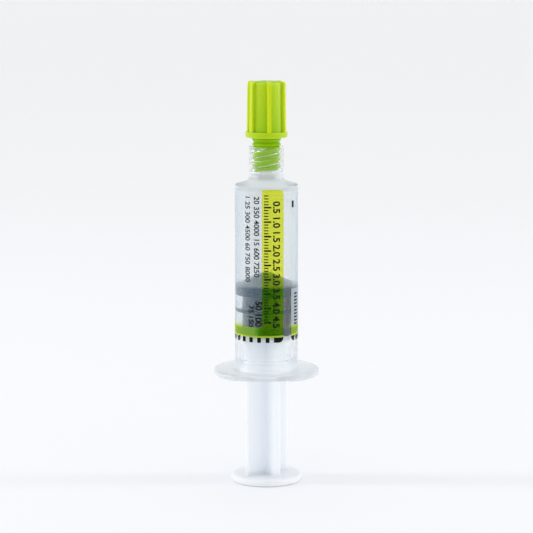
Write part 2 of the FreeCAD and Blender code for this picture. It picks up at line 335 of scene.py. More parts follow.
# Rows of plain numbers: the property that holds them, the row's angle, its start below the zero line, its
# height as a share of the small numerals', and what is added to its strokes
NUMBER_ROWS = (
    ("row_left", math.radians(-36.6), 0.7 * MM, 1.0, 0.03 * MM),
    ("row_right", math.radians(-18.6), 0.9 * MM, 1.0, 0.035 * MM),
    ("row_low", math.radians(-15.0), 27.4 * MM, 1.2, 0.065 * MM),
    ("row_low_left", math.radians(-29.5), 28.6 * MM, 1.0, 0.05 * MM),
)

# A numeral's height as a share of its font's size, and the width of the strips in which it is bent
NUMERAL_SHARE = 0.7
BEND_STEP = 0.25 * MM


class Finishes(bpy.types.PropertyGroup):
    """Colours of the finishes and how strongly they show"""

    clear: tint("Clear plastic", "Tint of the barrel", 0.972, 0.98, 0.982)
    clear_collar: tint("Clear plastic of the collar", "Tint of the lock collar", 0.99, 0.993, 0.994)
    # The tube's darker tint where it is seen edge-on is painted shade
    clear_limb_painted_shade: tint("Clear plastic at its limb", "Tint where the tube is seen edge-on", 0.79, 0.83, 0.85)
    clear_haze: tint("Clear plastic haze", "What the barrel's skin scatters back", 0.88, 0.91, 0.95)
    milky: tint("Milky plastic", "Colour of the plunger rod", 0.79, 0.845, 0.93)
    # A whiter thumb rest: painted light that lifts the shade at the rest and the fins' feet
    milky_foot_painted_light: tint("Milky foot", "Colour of the thumb rest", 0.96, 0.98, 1.0)
    rubber: tint("Rubber", "Colour of the stopper", 0.005, 0.044, 0.085)
    # The nose's paler colour is a painted highlight, the reflection of the light from above.
    rubber_nose_painted_highlight: tint("Rubber nose", "Colour of the stopper's coated nose", 0.17, 0.21, 0.24)
    liquid: tint("Solution", "Tint of the solution", 0.915, 0.93, 0.94)
    lime: tint("Lime plastic", "Colour of the tip cap's thin ribs", 0.60, 0.73, 0.0)
    # Darker in the recesses between the ribs and on the spigot under the flange: painted shade
    lime_recess_painted_shade: tint("Deep lime", "Colour of the tip cap where it is thick", 0.41, 0.65, 0.0)
    lime_neck_painted_shade: tint("Lime neck", "Colour of the tip cap's spigot", 0.30, 0.55, 0.0)
    column: tint("Column", "What the column's ink lets through", 1.0, 0.92, 0.095)
    column_body: tint("Column body", "What the column's ink scatters back", 0.0, 0.95, 0.0)
    band_body: tint("Band body", "What the band's denser ink scatters back", 0.41, 0.84, 0.13)
    rim_body: tint("Rim", "Yellow lower rim of the column and the band", 0.62, 0.92, 0.0)
    panel: tint("Panel", "Opaque pale panel of the film", 0.38, 0.445, 0.485)
    ink: tint("Ink", "Dark ink", 0.004, 0.005, 0.004)
    haze: tint("Haze", "Haze of the bare film", 0.74, 0.88, 0.97)
    barrel_haze: fraction("Barrel haze", "How hazy the barrel is everywhere", 0.01)
    tube_haze: fraction("Tube haze", "More where no film wets the tube", 0.06)
    front_haze: fraction("Front haze", "More at the solid front end", 0.16)
    flange_haze: fraction("Flange haze", "More towards the finger flange", 0.3)
    collar_limb_haze: fraction("Collar limb haze", "More where the collar is seen edge-on", 0.42)
    tube_limb_haze: fraction("Tube limb haze", "More where the tube is seen edge-on", 0.08)
    # How far that painted light at the thumb rest hides the milky plastic
    foot_painted_light_cover: fraction("Foot cover", "How far the thumb rest's white hides the milky plastic", 0.85)
    # How much of the ribs' paler colour the cap's flange takes, the rest being painted shade, and the painted
    # light towards the grip's top
    plate_lit_share: fraction("Plate pale", "How far the cap's flange counts as thin", 0.3)
    top_painted_light: fraction("Top pale", "How pale the cap's grip is at its top", 0.55)
    film_haze: fraction("Film haze", "How hazy the bare film is", 0.05)
    speck_haze: fraction("Speck haze", "More in the film's fine specks", 0.07)
    slant_haze: fraction("Slant haze", "More where the film is seen at a slant", 0.12)
    edge_haze: fraction("Edge haze", "Haze of the film's rim and its glued side", 0.02)
    column_cover: fraction("Column cover", "How far the column's ink hides what is behind", 0.09)
    band_cover: fraction("Band cover", "More in the band's denser ink", 0.28)
    rim_cover: fraction("Rim cover", "How far the yellow rim hides what is behind", 0.5)


class StudioSettings(bpy.types.PropertyGroup):
    """Camera, floor and light"""

    lens: FloatProperty(name="Lens", description="Focal length", default=135.1, unit="CAMERA")
    distance: size("Distance", "Camera to the point it looks at", 510.2)
    aim_height: size("Aim height", "Height of the point that the camera looks at", 55.56)
    pitch: degrees("Pitch", "Camera's angle above the horizon", 8.6)
    floor: tint("Floor", "Colour of the floor", 0.935, 0.945, 0.965)
    floor_far: tint("Far floor", "Colour of the floor far behind the object", 1.0, 1.0, 1.0)
    room: tint("Room", "Colour of the floor on the camera's side in reflections", 0.20, 0.20, 0.21)
    backdrop: tint("Backdrop", "Colour of the surroundings as seen", 0.93, 0.94, 0.965)
    light: tint("Light", "Colour of the light from all sides", 0.985, 0.99, 1.0)
    surround: FloatProperty(name="Surround", description="Strength of the light from all sides", default=0.90)
    strip_power: FloatProperty(name="Strip light", description="Power of the long lamp above", default=0.25)
    side_power: FloatProperty(name="Side lights", description="Power of each side lamp", default=1.0)


def maths(operation, swapped=False):
    """Method of Field that adds a Math node; swapped puts the other value first."""
    def method(self, other):
        first, second = (other, self) if swapped else (self, other)
        return self.plan.node("ShaderNodeMath", {"operation": operation}, {0: first, 1: second})
    return method


class Field:
    """Value of one socket, so that node maths reads as plain expressions."""

    def __init__(self, plan, socket):
        self.plan = plan
        self.socket = socket

    def math(self, operation, *others):
        """Math node of a kind that has no sign in Python."""
        inputs = {0: self, **dict(enumerate(others, 1))}
        return self.plan.node("ShaderNodeMath", {"operation": operation}, inputs)

    __add__ = __radd__ = maths("ADD")
    __mul__ = __rmul__ = maths("MULTIPLY")
    __sub__ = maths("SUBTRACT")
    __rsub__ = maths("SUBTRACT", swapped=True)
    __truediv__ = maths("DIVIDE")
    __gt__ = maths("GREATER_THAN")
    __lt__ = maths("LESS_THAN")


class Plan:
    """Node tree of a material, the world or a geometry modifier, filled node by node."""

    def __init__(self, tree):
        self.tree = tree

    def node(self, kind, settings=None, inputs=None, output=0):
        """Add a node with its settings and inputs; an input is a value, a Field or a list of Fields."""
        node = self.tree.nodes.new(kind)
        for name, value in (settings or {}).items():
            setattr(node, name, value)
        for name, value in (inputs or {}).items():
            socket = node.inputs[name]
            if isinstance(value, (Field, list)):
                for field in value if isinstance(value, list) else [value]:
                    self.tree.links.new(field.socket, socket)
            else:
                socket.default_value = value
        return Field(self, node.outputs[output]) if node.outputs else node

    def parts(self, vector):
        """X, Y and Z of a vector."""
        separate = self.node("ShaderNodeSeparateXYZ", inputs={0: vector}).socket.node
        return [Field(self, output) for output in separate.outputs]

    def smooth_step(self, value, low, high):
        """0 below low, 1 above high, and a smooth way between; low may be the larger one."""
        return self.node("ShaderNodeMapRange", {"interpolation_type": "SMOOTHSTEP"},
                         {"Value": value, "From Min": low, "From Max": high})

    def within(self, value, low, high, soft):
        """1 between two values and 0 outside, with soft edges."""
        rise = self.smooth_step(value, low - soft, low + soft)
        fall = self.smooth_step(value, high + soft, high - soft)
        return rise * fall

    def noise(self, scale, detail=2.0, stretch=(1, 1, 1)):
        """Noise over Object coordinates, scaled per metre."""
        place = self.node("ShaderNodeTexCoord", output="Object")
        mapped = self.node("ShaderNodeMapping", inputs={"Vector": place, "Scale": stretch})
        return self.node("ShaderNodeTexNoise", inputs={"Vector": mapped, "Scale": scale, "Detail": detail})

    def facing(self):
        """0 where a face is seen square on, 1 where it is seen edge-on."""
        return self.node("ShaderNodeLayerWeight", inputs={"Blend": 0.5}, output="Facing")

    def bump(self, height, strength, distance):
        """Normal of a fine relief."""
        inputs = {"Height": height, "Strength": strength, "Distance": distance}
        return self.node("ShaderNodeBump", inputs=inputs)

    def blend_colours(self, share, first, second):
        """Colour between two, each a Field or red, green and blue."""
        inputs = {"Factor": share, 6: full_colour(first), 7: full_colour(second)}
        return self.node("ShaderNodeMix", {"data_type": "RGBA"}, inputs, output=2)

    def mix_shaders(self, share, first, second):
        """Shader between two."""
        return self.node("ShaderNodeMixShader", inputs={0: share, 1: first, 2: second})

    def principled(self, colour, roughness, **others):
        """Principled shader; an underscore in a keyword stands for the space in its socket's name."""
        inputs = {name.replace("_", " "): value for name, value in others.items()}
        inputs = {"Base Color": full_colour(colour), "Roughness": roughness, **inputs}
        return self.node("ShaderNodeBsdfPrincipled", inputs=inputs)

    def transparent(self, colour=(1, 1, 1)):
        """Shader that lets light straight through, tinted."""
        return self.node("ShaderNodeBsdfTransparent", inputs={"Color": full_colour(colour)})


def full_colour(colour):
    """A Field as it is; red, green and blue with an alpha of 1."""
    return colour if isinstance(colour, Field) else (*colour, 1)


def finish(name):
    """New material and its empty node plan."""
    material = bpy.data.materials.new(name)
    material.use_nodes = True
    material.node_tree.nodes.clear()
    return material, Plan(material.node_tree)


def surface(plan, shader):
    """Give the material its shader."""
    plan.node("ShaderNodeOutputMaterial", inputs={"Surface": shader})


def object_place(plan):
    """X, Y and Z on the object."""
    return plan.parts(plan.node("ShaderNodeTexCoord", output="Object"))


def bearing(x, y):
    """Angle about Z, 0 at the front and positive to the right."""
    return x.math("ARCTAN2", 0 - y)


def squared_distance(x, y):
    """Square of the distance from the Z axis."""
    return x.math("POWER", 2) + y.math("POWER", 2)


def lit_through(plan, shader, colour):
    """The same shader, but light on its way to what lies behind passes straight through, tinted."""
    shadow, diffuse = light_path(plan, "Is Shadow Ray"), light_path(plan, "Is Diffuse Ray")
    return plan.mix_shaders(shadow.math("MAXIMUM", diffuse), shader, plan.transparent(colour))


def light_path(plan, name):
    """1 for rays of one kind, 0 for the others."""
    return plan.node("ShaderNodeLightPath", output=name)


# Refractive indices
PLASTIC_IOR = 1.49
FILM_IOR = 1.45
RUBBER_IOR = 1.52
WATER_IOR = 1.34

# How far a wall's skin goes in, how soft the film's edges are along it and round it, how far the hazy front
# end goes past the bore's corner and the collar's floor, and where a limb, with its painted shade and haze,
# begins to show
SKIN_DEPTH = 0.05 * MM
FILM_SOFT = 0.05 * MM
FILM_END_SOFT = 0.01
FRONT_SOFT = 0.5 * MM
FRONT_BELOW = 0.6 * MM
FRONT_ABOVE = 1.1 * MM
LIMB_SHOWS = (0.2, 0.65)


def clear_plastic(looks, barrel, label):
    """Clear polypropylene, faintly hazy, clearer where the film's glue wets it, and painted darker at its
    limb.
    """
    material, plan = finish("clear_plastic")
    at = heights(barrel)
    x, y, z = object_place(plan)
    angle = bearing(x, y)
    square = squared_distance(x, y)
    limb = plan.smooth_step(plan.facing(), *LIMB_SHOWS)
    collar = plan.smooth_step(z, at["floor"] - FRONT_SOFT, at["floor"])
    tube_skin = (square > (PIN_RADIUS - 2 * SKIN_DEPTH) ** 2) * (z < at["floor"])
    collar_skin = (square > (barrel.collar_radius - SKIN_DEPTH) ** 2) * collar
    solid_front = plan.within(z, at["bore_corner"] - FRONT_BELOW, at["floor"] + FRONT_ABOVE, FRONT_SOFT)
    tone = plan.blend_colours(collar, looks.clear, looks.clear_collar)
    ripple = plan.noise(scale=260.0, detail=1.0, stretch=(1, 1, 0.35))
    clear = plan.principled(
        # The darker tint at the tube's limb is painted shade.
        plan.blend_colours(limb * tube_skin, tone, looks.clear_limb_painted_shade),
        roughness=0.10 + 0.06 * plan.noise(scale=900.0) + 0.2 * solid_front,
        IOR=PLASTIC_IOR, Transmission_Weight=1.0,
        Normal=plan.bump(ripple, strength=0.025, distance=0.05 * MM))
    haze = plan.principled(looks.clear_haze, roughness=0.4)
    wetted = plan.within(z, LABEL_LOW.z, LABEL_HIGH.z, FILM_SOFT)
    wetted = wetted * (1 - plan.within(angle, label.right_end, label.left_end, FILM_END_SOFT))
    flange = plan.smooth_step(z, LABEL_LOW.z, BARREL_LOW.z)
    hazy = looks.barrel_haze + looks.tube_haze * tube_skin * (1 - wetted)
    hazy = hazy + looks.front_haze * solid_front + looks.flange_haze * flange
    hazy = hazy + limb * (looks.collar_limb_haze * collar_skin + looks.tube_limb_haze * tube_skin)
    surface(plan, lit_through(plan, plan.mix_shaders(hazy, clear, haze), looks.clear))
    return material


# Heights between which the thumb rest's whiter colour, painted light that lifts the shade there, gives way to
# the milky plastic
FOOT_PAINTED_LIGHT_ENDS = (2.6 * MM, 1.2 * MM)


def milky_plastic(looks):
    """Milky polypropylene that scatters most of the light that enters it, with painted light at the thumb
    rest.
    """
    material, plan = finish("milky_plastic")
    z = object_place(plan)[2]
    foot = plan.smooth_step(z, *FOOT_PAINTED_LIGHT_ENDS)
    shader = plan.principled(
        looks.milky, roughness=0.32 + 0.1 * plan.noise(scale=700.0), IOR=PLASTIC_IOR,
        Subsurface_Weight=1.0, Subsurface_Radius=(1.0, 1.0, 1.0), Subsurface_Scale=6 * MM,
        Normal=plan.bump(plan.noise(scale=420.0), strength=0.12, distance=0.04 * MM))
    # The thumb rest's whiter colour is painted light that lifts the shade there
    rest = plan.principled(looks.milky_foot_painted_light, roughness=0.38, IOR=PLASTIC_IOR)
    surface(plan, plan.mix_shaders(looks.foot_painted_light_cover * foot, shader, rest))
    return material


# The nose's coat, and the painted highlight that makes the nose paler as a reflection of the light from
# above, begin below the front edge and are full above it. The bloom's dark parts keep this share of the
# rubber's colour.
NOSE_BELOW = 0.2 * MM
NOSE_ABOVE = 0.5 * MM
BLOOM_DEEP = 0.82


def rubber(looks, front):
    """Grey-blue rubber with a faint bloom, and a coated nose above the front edge that a painted highlight
    makes paler.
    """
    material, plan = finish("grey_rubber")
    z = object_place(plan)[2]
    bloom = plan.noise(scale=1500.0, detail=3.0)
    deep = tuple(BLOOM_DEEP * part for part in looks.rubber)
    # Where the nose's coat lies and where its painted highlight makes the rubber paler
    nose = plan.smooth_step(z, front - NOSE_BELOW, front + NOSE_ABOVE)
    body = plan.blend_colours(bloom, deep, looks.rubber)
    surface(plan, plan.principled(
        plan.blend_colours(nose, body, looks.rubber_nose_painted_highlight), roughness=0.38 + 0.2 * bloom, IOR=RUBBER_IOR,
        Specular_IOR_Level=0.1, Coat_Weight=nose, Coat_Roughness=0.12,
        Normal=plan.bump(plan.noise(scale=5200.0), strength=0.15, distance=0.02 * MM)))
    return material


def liquid(looks):
    """Water-clear solution."""
    material, plan = finish("clear_solution")
    shader = plan.principled(looks.liquid, roughness=0.0, IOR=WATER_IOR, Transmission_Weight=1.0)
    surface(plan, lit_through(plan, shader, looks.liquid))
    return material


# Radii over which the painted shade in the recesses between the ribs gives way to the paler ribs, and over
# which the spigot turns to the painted shade under the flange; a cloud moves both
CAP_RECESS_PAINTED_SHADE_RADII = (4.3 * MM, 5.1 * MM)
CAP_NECK_PAINTED_SHADE_RADII = (4.0 * MM, 3.8 * MM)
CAP_CLOUD = 0.16 * MM
GRIP_SOFT = 0.1 * MM


def lime_plastic(looks, cap):
    """Lime moulded plastic with painted shade in its rib recesses and neck, and painted light towards its
    top.
    """
    material, plan = finish("lime_plastic")
    x, y, z = object_place(plan)
    cloud = plan.noise(scale=190.0, stretch=(1, 1, 0.5)) * CAP_CLOUD
    radius = squared_distance(x, y).math("SQRT") + cloud
    grip_low = CAP_HIGH.z - cap.grip_length
    height = plan.smooth_step(z, grip_low, CAP_HIGH.z)
    on_grip = plan.smooth_step(z, grip_low - GRIP_SOFT, grip_low + GRIP_SOFT)
    # 1 on the ribs and 0 in the recesses between them, whose darker colour is painted shade
    thin = plan.smooth_step(radius, *CAP_RECESS_PAINTED_SHADE_RADII) * (looks.plate_lit_share + (1 - looks.plate_lit_share) * on_grip)
    # Paler towards the grip's top: painted light from above
    pale = thin.math("MAXIMUM", looks.top_painted_light * height * on_grip)
    # Where the spigot takes the painted shade under the flange
    thick = plan.smooth_step(radius, *CAP_NECK_PAINTED_SHADE_RADII)
    tone = plan.blend_colours(pale, looks.lime_recess_painted_shade, looks.lime)
    surface(plan, plan.principled(
        plan.blend_colours(thick, tone, looks.lime_neck_painted_shade),
        roughness=0.34 + 0.14 * plan.noise(scale=1100.0), IOR=PLASTIC_IOR, Specular_IOR_Level=0.2,
        Coat_Weight=0.5 * (1 - thick), Coat_Roughness=0.22,
        Subsurface_Weight=0.8, Subsurface_Radius=(1.0, 0.8, 0.1), Subsurface_Scale=1.2 * MM,
        Normal=plan.bump(plan.noise(scale=4200.0), strength=0.10, distance=0.015 * MM)))
    return material


# How much paler the ink is where it lies thin
INK_PALER = 0.004


def dark_ink(looks):
    """Matt dark print."""
    material, plan = finish("dark_ink")
    spread = plan.noise(scale=6000.0)
    paler = tuple(part + INK_PALER for part in looks.ink)
    surface(plan, plan.principled(
        plan.blend_colours(spread, looks.ink, paler), roughness=0.42 + 0.2 * spread,
        Specular_IOR_Level=0.08))
    return material


def bare_film(looks):
    """Clear film without print: its rim and its glued side."""
    material, plan = finish("bare_film")
    haze = plan.principled(looks.haze, roughness=0.35, IOR=FILM_IOR)
    surface(plan, plan.mix_shaders(looks.edge_haze, plan.transparent(), haze))
    return material


# Where the film's specks and its slant begin to show and where they show in full, and the share of the
# panel's colour that its darker specks keep
SPECK_SHOWS = (0.35, 0.75)
SLANT_SHOWS = (0.12, 0.5)
PANEL_DEEP = 0.94


def printed_film(looks, label):
    """Outer side of the film: bare film, coloured column and band, and the pale panel."""
    material, plan = finish("printed_film")
    x, y, z = object_place(plan)
    angle = bearing(x, y)
    low = LABEL_LOW.z
    past_end = label.right_end + FILM_OVER
    round_soft = FILM_SOFT / LABEL_HIGH.x
    column = plan.within(angle, label.column_left, past_end, round_soft)
    band = plan.within(z, low + BAND_LOW, low + BAND_HIGH, FILM_SOFT)
    above_hatch = plan.smooth_step(z, low + BAND_LOW - FILM_SOFT, low + BAND_LOW + FILM_SOFT)
    coloured = (column * above_hatch).math("MAXIMUM", band)
    away = plan.smooth_step(angle, label.column_left, label.column_left - BAND_FADE)
    pale_band = band * away.math("MAXIMUM", angle > past_end)
    rim = plan.smooth_step(z, low + BAND_LOW + RIM_HIGH, low + BAND_LOW + RIM_LOW)
    panel = plan.within(angle, label.left_end - FILM_OVER, label.left_end + PANEL_REACH, round_soft)
    panel = panel * plan.within(z, low + PANEL_LOW, low + PANEL_HIGH, FILM_SOFT) * (1 - band)

    speck = plan.noise(scale=3600.0, detail=3.0)
    gloss = 0.3 + 0.25 * speck
    slant = plan.smooth_step(plan.facing(), *SLANT_SHOWS)
    hazy = plan.smooth_step(speck, *SPECK_SHOWS) * looks.speck_haze + looks.film_haze
    hazy = hazy + looks.slant_haze * slant
    bare = plan.mix_shaders(hazy, plan.transparent(), plan.principled(looks.haze, gloss, IOR=FILM_IOR))
    body_tone = plan.blend_colours(pale_band, looks.column_body, looks.band_body)
    body = plan.principled(
        plan.blend_colours(rim, body_tone, looks.rim_body), gloss, IOR=FILM_IOR, Specular_IOR_Level=0.1)
    cover = looks.column_cover + looks.band_cover * pale_band
    ink = plan.mix_shaders(cover.math("MAXIMUM", looks.rim_cover * rim), plan.transparent(looks.column), body)
    deep = tuple(part * PANEL_DEEP for part in looks.panel)
    pale = plan.principled(plan.blend_colours(speck, looks.panel, deep), gloss, IOR=FILM_IOR)
    surface(plan, plan.mix_shaders(panel, plan.mix_shaders(coloured, bare, ink), pale))
    return material


def softened(*corners):
    """Outline of (radius, height) points from (radius, height, rounding) corners; the two ends stay sharp."""
    points = []
    for index, (radius, height, rounding) in enumerate(corners):
        if rounding == 0 or index in (0, len(corners) - 1):
            points.append((radius, height))
            continue
        before = (corners[index - 1][0] - radius, corners[index - 1][1] - height)
        after = (corners[index + 1][0] - radius, corners[index + 1][1] - height)
        start = math.atan2(before[1], before[0])
        sweep = (math.atan2(after[1], after[0]) - start + math.pi) % TURN - math.pi
        opening = abs(sweep)
        middle = start + sweep / 2
        reach = rounding / math.sin(opening / 2)
        centre = (radius + reach * math.cos(middle), height + reach * math.sin(middle))
        turn = math.pi - opening
        steps = max(2, math.ceil(turn / ARC_STEP))
        side = 1 if sweep > 0 else -1
        first = middle + math.pi + side * turn / 2
        for step in range(steps + 1):
            angle = first - side * turn * step / steps
            points.append((centre[0] + rounding * math.cos(angle), centre[1] + rounding * math.sin(angle)))
    return held(points)


def held(points):
    """The same outline with extra points near the ends of long straight stretches, which keep them flat."""
    kept = [points[0]]
    for (r0, z0), (r1, z1) in zip(points, points[1:]):
        length = math.hypot(r1 - r0, z1 - z0)
        if length > 8 * HOLD and r0 > 0 and r1 > 0:
            for part in (HOLD / length, 1 - HOLD / length):
                kept.append((r0 + (r1 - r0) * part, z0 + (z1 - z0) * part))
        kept.append((r1, z1))
    return kept


def whole_turn(count=ROUND_COLUMNS):
    """Angles of one turn."""
    return [TURN * index / count for index in range(count)]


def quarter(steps):
    """Pairs of shares (inwards, onwards) along a quarter round, from its foot to its tangent."""
    turns = [math.pi / 2 * step / steps for step in range(steps + 1)]
    return [(1 - math.sin(turn), 1 - math.cos(turn)) for turn in turns]


def mirrored(angles):
    """The same angles, which start at 0, on both sides of it."""
    return [-angle for angle in reversed(angles[1:])] + angles


def eased(share):
    """0 to 1 with a smooth start and end, held outside."""
    share = min(1, max(0, share))
    return share * share * (3 - 2 * share)


def skin(name, rings, angles, around=True, closed=False):
    """Mesh through rings about Z. A ring is (radius, height), each one number or one for every angle.

    A radius of 0 is a pole. around joins the last angle to the first, closed the last ring to the first."""
    count = len(angles)
    vertices = []
    rows = []
    for radius, height in rings:
        radii = radius if hasattr(radius, "__len__") else [radius] * count
        levels = height if hasattr(height, "__len__") else [height] * count
        start = len(vertices)
        if max(radii) == 0:
            vertices.append((0, 0, levels[0]))
            rows.append([start] * count)
            continue
        for angle, r, z in zip(angles, radii, levels):
            vertices.append((r * math.cos(angle), r * math.sin(angle), z))
        rows.append(list(range(start, start + count)))
    if closed:
        rows.append(rows[0])
    faces = []
    columns = count if around else count - 1
    for low, high in zip(rows, rows[1:]):
        for index in range(columns):
            after = (index + 1) % count
            corners = []
            for corner in (low[index], low[after], high[after], high[index]):
                if corner not in corners:
                    corners.append(corner)
            if len(corners) > 2:
                faces.append(corners)
    mesh = bpy.data.meshes.new(name)
    mesh.from_pydata(vertices, [], faces)
    piece = bpy.data.objects.new(name, mesh)
    bpy.context.scene.collection.objects.link(piece)
    return piece


def tidy_surface(piece):
    """Weld what meets, turn the faces outwards and shade smoothly up to sharp edges."""
    shape = bmesh.new()
    shape.from_mesh(piece.data)
    bmesh.ops.remove_doubles(shape, verts=shape.verts, dist=WELD)
    bmesh.ops.recalc_face_normals(shape, faces=shape.faces)
    shape.to_mesh(piece.data)
    shape.free()
    piece.data.shade_smooth()
    piece.data.set_sharp_from_angle(angle=SHARP_ANGLE)
    return piece


def made_plain(piece):
    """Replace a piece's data by the result of its modifiers."""
    graph = bpy.context.evaluated_depsgraph_get()
    mesh = bpy.data.meshes.new_from_object(piece.evaluated_get(graph))
    piece.modifiers.clear()
    piece.data = mesh
    return piece


def geometry_tree(name, *inputs):
    """Empty geometry tree with a geometry input and output and named inputs, and its plan."""
    tree = bpy.data.node_groups.new(name, "GeometryNodeTree")
    tree.is_modifier = True
    tree.interface.new_socket("Geometry", in_out="INPUT", socket_type="NodeSocketGeometry")
    tree.interface.new_socket("Geometry", in_out="OUTPUT", socket_type="NodeSocketGeometry")
    for label, kind in inputs:
        tree.interface.new_socket(label, in_out="INPUT", socket_type="NodeSocket" + kind)
    plan = Plan(tree)
    given = plan.node("NodeGroupInput").socket.node
    values = {socket.name: Field(plan, socket) for socket in given.outputs if socket.name}
    return tree, plan, values


def use_tree(piece, tree, **values):
    """Run a geometry tree on a piece with the given inputs, and keep the plain mesh."""
    modifier = piece.modifiers.new(tree.name, "NODES")
    modifier.node_group = tree
    for socket in tree.interface.items_tree:
        if socket.in_out == "INPUT" and socket.name in values:
            modifier[socket.identifier] = values[socket.name]
    return made_plain(piece)


def around_tree():
    """Tree that repeats one sector round Z, adds a core and welds the seams."""
    tree, plan, given = geometry_tree(
        "sector_around_axis", ("Count", "Int"), ("Turn", "Float"), ("Core", "Object"), ("Weld", "Float"),
        ("Finish", "Material"))
    points = plan.node("GeometryNodeMeshLine", inputs={"Count": given["Count"], "Offset": (0, 0, 0)})
    place = plan.node("GeometryNodeInputIndex")
    spin = plan.node("ShaderNodeCombineXYZ", inputs={"Z": place * TURN / given["Count"] + given["Turn"]})
    rotation = plan.node("FunctionNodeEulerToRotation", inputs={0: spin})
    sectors = plan.node("GeometryNodeInstanceOnPoints", inputs={
        "Points": points, "Instance": given["Geometry"], "Rotation": rotation})
    core = plan.node("GeometryNodeObjectInfo", inputs={"Object": given["Core"]}, output="Geometry")
    joined = plan.node("GeometryNodeJoinGeometry", inputs={0: [core, sectors]})
    real = plan.node("GeometryNodeRealizeInstances", inputs={0: joined})
    welded = plan.node("GeometryNodeMergeByDistance", inputs={"Geometry": real, "Distance": given["Weld"]})
    painted = plan.node("GeometryNodeSetMaterial", inputs={"Geometry": welded, "Material": given["Finish"]})
    plan.node("NodeGroupOutput", inputs={0: painted})
    return tree


def wrap(plan, geometry, radius):
    """Bend flat geometry, X along the film and Y up it, round Z; X = 0 comes to the front."""
    x, y, lift = plan.parts(plan.node("GeometryNodeInputPosition"))
    angle = x / radius + FRONT
    reach = lift + radius
    bent = plan.node("ShaderNodeCombineXYZ", inputs={
        "X": reach * angle.math("COSINE"), "Y": reach * angle.math("SINE"), "Z": y})
    return plan.node("GeometryNodeSetPosition", inputs={"Geometry": geometry, "Position": bent})


def wrapped_marks_tree():
    """Tree that repeats one flat mark in a row and wraps the row round the film."""
    tree, plan, given = geometry_tree(
        "marks_on_film", ("Count", "Int"), ("Step", "Vector"), ("Start", "Vector"), ("Mark", "Vector"),
        ("Radius", "Float"), ("Finish", "Material"))
    points = plan.node("GeometryNodeMeshLine", inputs={
        "Count": given["Count"], "Start Location": given["Start"], "Offset": given["Step"]})
    mark = plan.node("GeometryNodeMeshCube", inputs={
        "Size": given["Mark"], "Vertices X": 7, "Vertices Y": 2, "Vertices Z": 2})
    marks = plan.node("GeometryNodeInstanceOnPoints", inputs={"Points": points, "Instance": mark})
    real = plan.node("GeometryNodeRealizeInstances", inputs={0: marks})
    bent = wrap(plan, real, given["Radius"])
    painted = plan.node("GeometryNodeSetMaterial", inputs={"Geometry": bent, "Material": given["Finish"]})
    plan.node("NodeGroupOutput", inputs={0: painted})
    return tree


def wrap_tree():
    """Tree that wraps flat geometry round the film."""
    tree, plan, given = geometry_tree("shape_on_film", ("Radius", "Float"), ("Finish", "Material"))
    bent = wrap(plan, given["Geometry"], given["Radius"])
    painted = plan.node("GeometryNodeSetMaterial", inputs={"Geometry": bent, "Material": given["Finish"]})
    plan.node("NodeGroupOutput", inputs={0: painted})
    return tree


def thread_share(angle, height, crest_height, sizes):
    """1 on a right-hand thread's crest, 0 in its root; crest_height is a crest's height at angle 0."""
    phase = (height - crest_height - THREAD_LEAD * angle / TURN) / THREAD_PITCH
    away = abs(phase - round(phase)) * THREAD_PITCH
    return eased((sizes.thread_flat / 2 + sizes.thread_flank - away) / sizes.thread_flank)


def thread_rings(angles, high, low, root, crest, crest_height, sizes):
    """Rings down a threaded wall, with the thread's profile and its fades at both ends from the sizes."""
    rings = []
    rows = math.ceil((high - low) / THREAD_ROW)
    for row in range(rows + 1):
        height = high - (high - low) * row / rows
        fade = min(1, (high - height) / sizes.thread_fade_high, (height - low) / sizes.thread_fade_low)
        radii = [root + (crest - root) * fade * thread_share(angle, height, crest_height, sizes)
                 for angle in angles]
        rings.append((radii, height))
    return rings


def heights(barrel):
    """Named heights of the barrel, from the frame and its sizes."""
    tip_top = BARREL_HIGH.z
    floor = tip_top - barrel.tip_length
    shoulder = BARREL_LOW.z + barrel.tube_length
    bore_corner = shoulder - barrel.front_wall
    return {
        "tip_top": tip_top,
        "floor": floor,
        "rim": floor + barrel.collar_length,
        "shoulder": shoulder,
        "bore_corner": bore_corner,
        "channel": bore_corner + barrel.nose_rise,
        "flange_top": BARREL_LOW.z + barrel.flange_thickness,
    }


def tip_taper(barrel, height):
    """Radius of the male tip at a height."""
    return barrel.tip_radius + TAPER * (BARREL_HIGH.z - height)


def flange_rings(barrel, angles):
    """Rings round the flange's edge, from its underside to its top."""
    half_span = BARREL_HIGH.x
    half_depth = BARREL_HIGH.y
    side_centre = barrel.flange_side_radius - half_depth
    outline = []
    for angle in angles:
        across = side_centre * math.cos(angle)
        side = math.sqrt(barrel.flange_side_radius ** 2 - across ** 2) - side_centre * abs(math.sin(angle))
        gap = max(0, FLANGE_CORNER - abs(side - half_span)) / FLANGE_CORNER
        outline.append(min(side, half_span) - gap * gap * FLANGE_CORNER / 4)
    low, high = BARREL_LOW.z, BARREL_LOW.z + barrel.flange_thickness
    rounding = barrel.flange_round
    arc = quarter(EDGE_STEPS)
    rings = [([r - rounding * inward for r in outline], low + rounding * onward) for inward, onward in arc]
    rings += [([r - rounding * inward for r in outline], high - rounding * onward)
              for inward, onward in reversed(arc)]
    return rings


